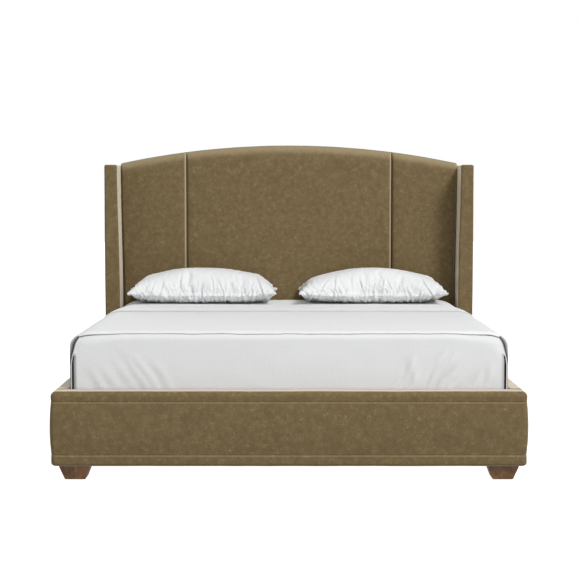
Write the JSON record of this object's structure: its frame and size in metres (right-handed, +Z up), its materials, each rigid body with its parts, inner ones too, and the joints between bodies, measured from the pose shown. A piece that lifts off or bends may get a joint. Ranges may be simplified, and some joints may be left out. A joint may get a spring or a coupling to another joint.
{
  "type": "upholstered headboard bed",
  "caption": "King-size upholstered bed with an arched three-panel headboard, side wings, padded rails, block feet, slatted base, mattress, coverlet and pillows.",
  "frame": {"origin": "on the floor, under the middle of the bed's overall width and length", "axes": "+X to the right of someone at the foot end who faces the headboard, +Y towards the headboard, +Z up"},
  "size_m": [2.116, 2.243, 1.55],
  "materials": {
    "velvet": "matte",
    "back_cloth": "matte",
    "timber": "matte",
    "foot_wood": "satin",
    "glide_plastic": "matte",
    "steel": "satin",
    "ticking": "matte",
    "cotton": "matte"
  },
  "bodies": {
    "bed_frame": {"beam_hanger_foot": "steel", "beam_hanger_head": "steel", "bracket_bolt_foot_left": "steel", "bracket_bolt_foot_right": "steel", "bracket_bolt_head_left": "steel", "bracket_bolt_head_right": "steel", "centre_beam": "timber", "centre_leg_1": "steel", "centre_leg_2": "steel", "centre_leg_3": "steel", "corner_block_left": "timber", "corner_block_right": "timber", "foot_front_left": "foot_wood", "foot_front_right": "foot_wood", "foot_rear_left": "foot_wood", "foot_rear_right": "foot_wood", "footboard_board": "timber", "footboard_cover": "velvet", "glide_front_left": "glide_plastic", "glide_front_right": "glide_plastic", "glide_rear_left": "glide_plastic", "glide_rear_right": "glide_plastic", "headboard_back_cover": "back_cloth", "headboard_core": "timber", "headboard_lower_rail": "timber", "headboard_pad_centre": "velvet", "headboard_pad_left": "velvet", "headboard_pad_right": "velvet", "rail_bracket_foot_left": "steel", "rail_bracket_foot_right": "steel", "rail_bracket_head_left": "steel", "rail_bracket_head_right": "steel", "side_board_left": "timber", "side_board_right": "timber", "side_cover_left": "velvet", "side_cover_right": "velvet", "slat_01": "timber", "slat_02": "timber", "slat_03": "timber", "slat_04": "timber", "slat_05": "timber", "slat_06": "timber", "slat_07": "timber", "slat_08": "timber", "slat_09": "timber", "slat_10": "timber", "slat_11": "timber", "slat_12": "timber", "slat_ledge_left": "timber", "slat_ledge_right": "timber", "wing_core_left": "timber", "wing_core_right": "timber", "wing_cover_left": "velvet", "wing_cover_right": "velvet"},
    "mattress": {"mattress": "ticking", "fitted_sheet": "cotton", "coverlet": "cotton"},
    "pillow_left": {"pillow_left": "cotton"},
    "pillow_right": {"pillow_right": "cotton"}
  },
  "joints": [
    {"name": "mattress_lift", "type": "slide", "parent": "bed_frame", "child": "mattress", "axis": [0, 0, 1], "range_m": [0, 0.3]},
    {"name": "pillow_left_lift", "type": "slide", "parent": "mattress", "child": "pillow_left", "axis": [0, 0, 1], "range_m": [0, 0.3]},
    {"name": "pillow_right_lift", "type": "slide", "parent": "mattress", "child": "pillow_right", "axis": [0, 0, 1], "range_m": [0, 0.3]}
  ]
}
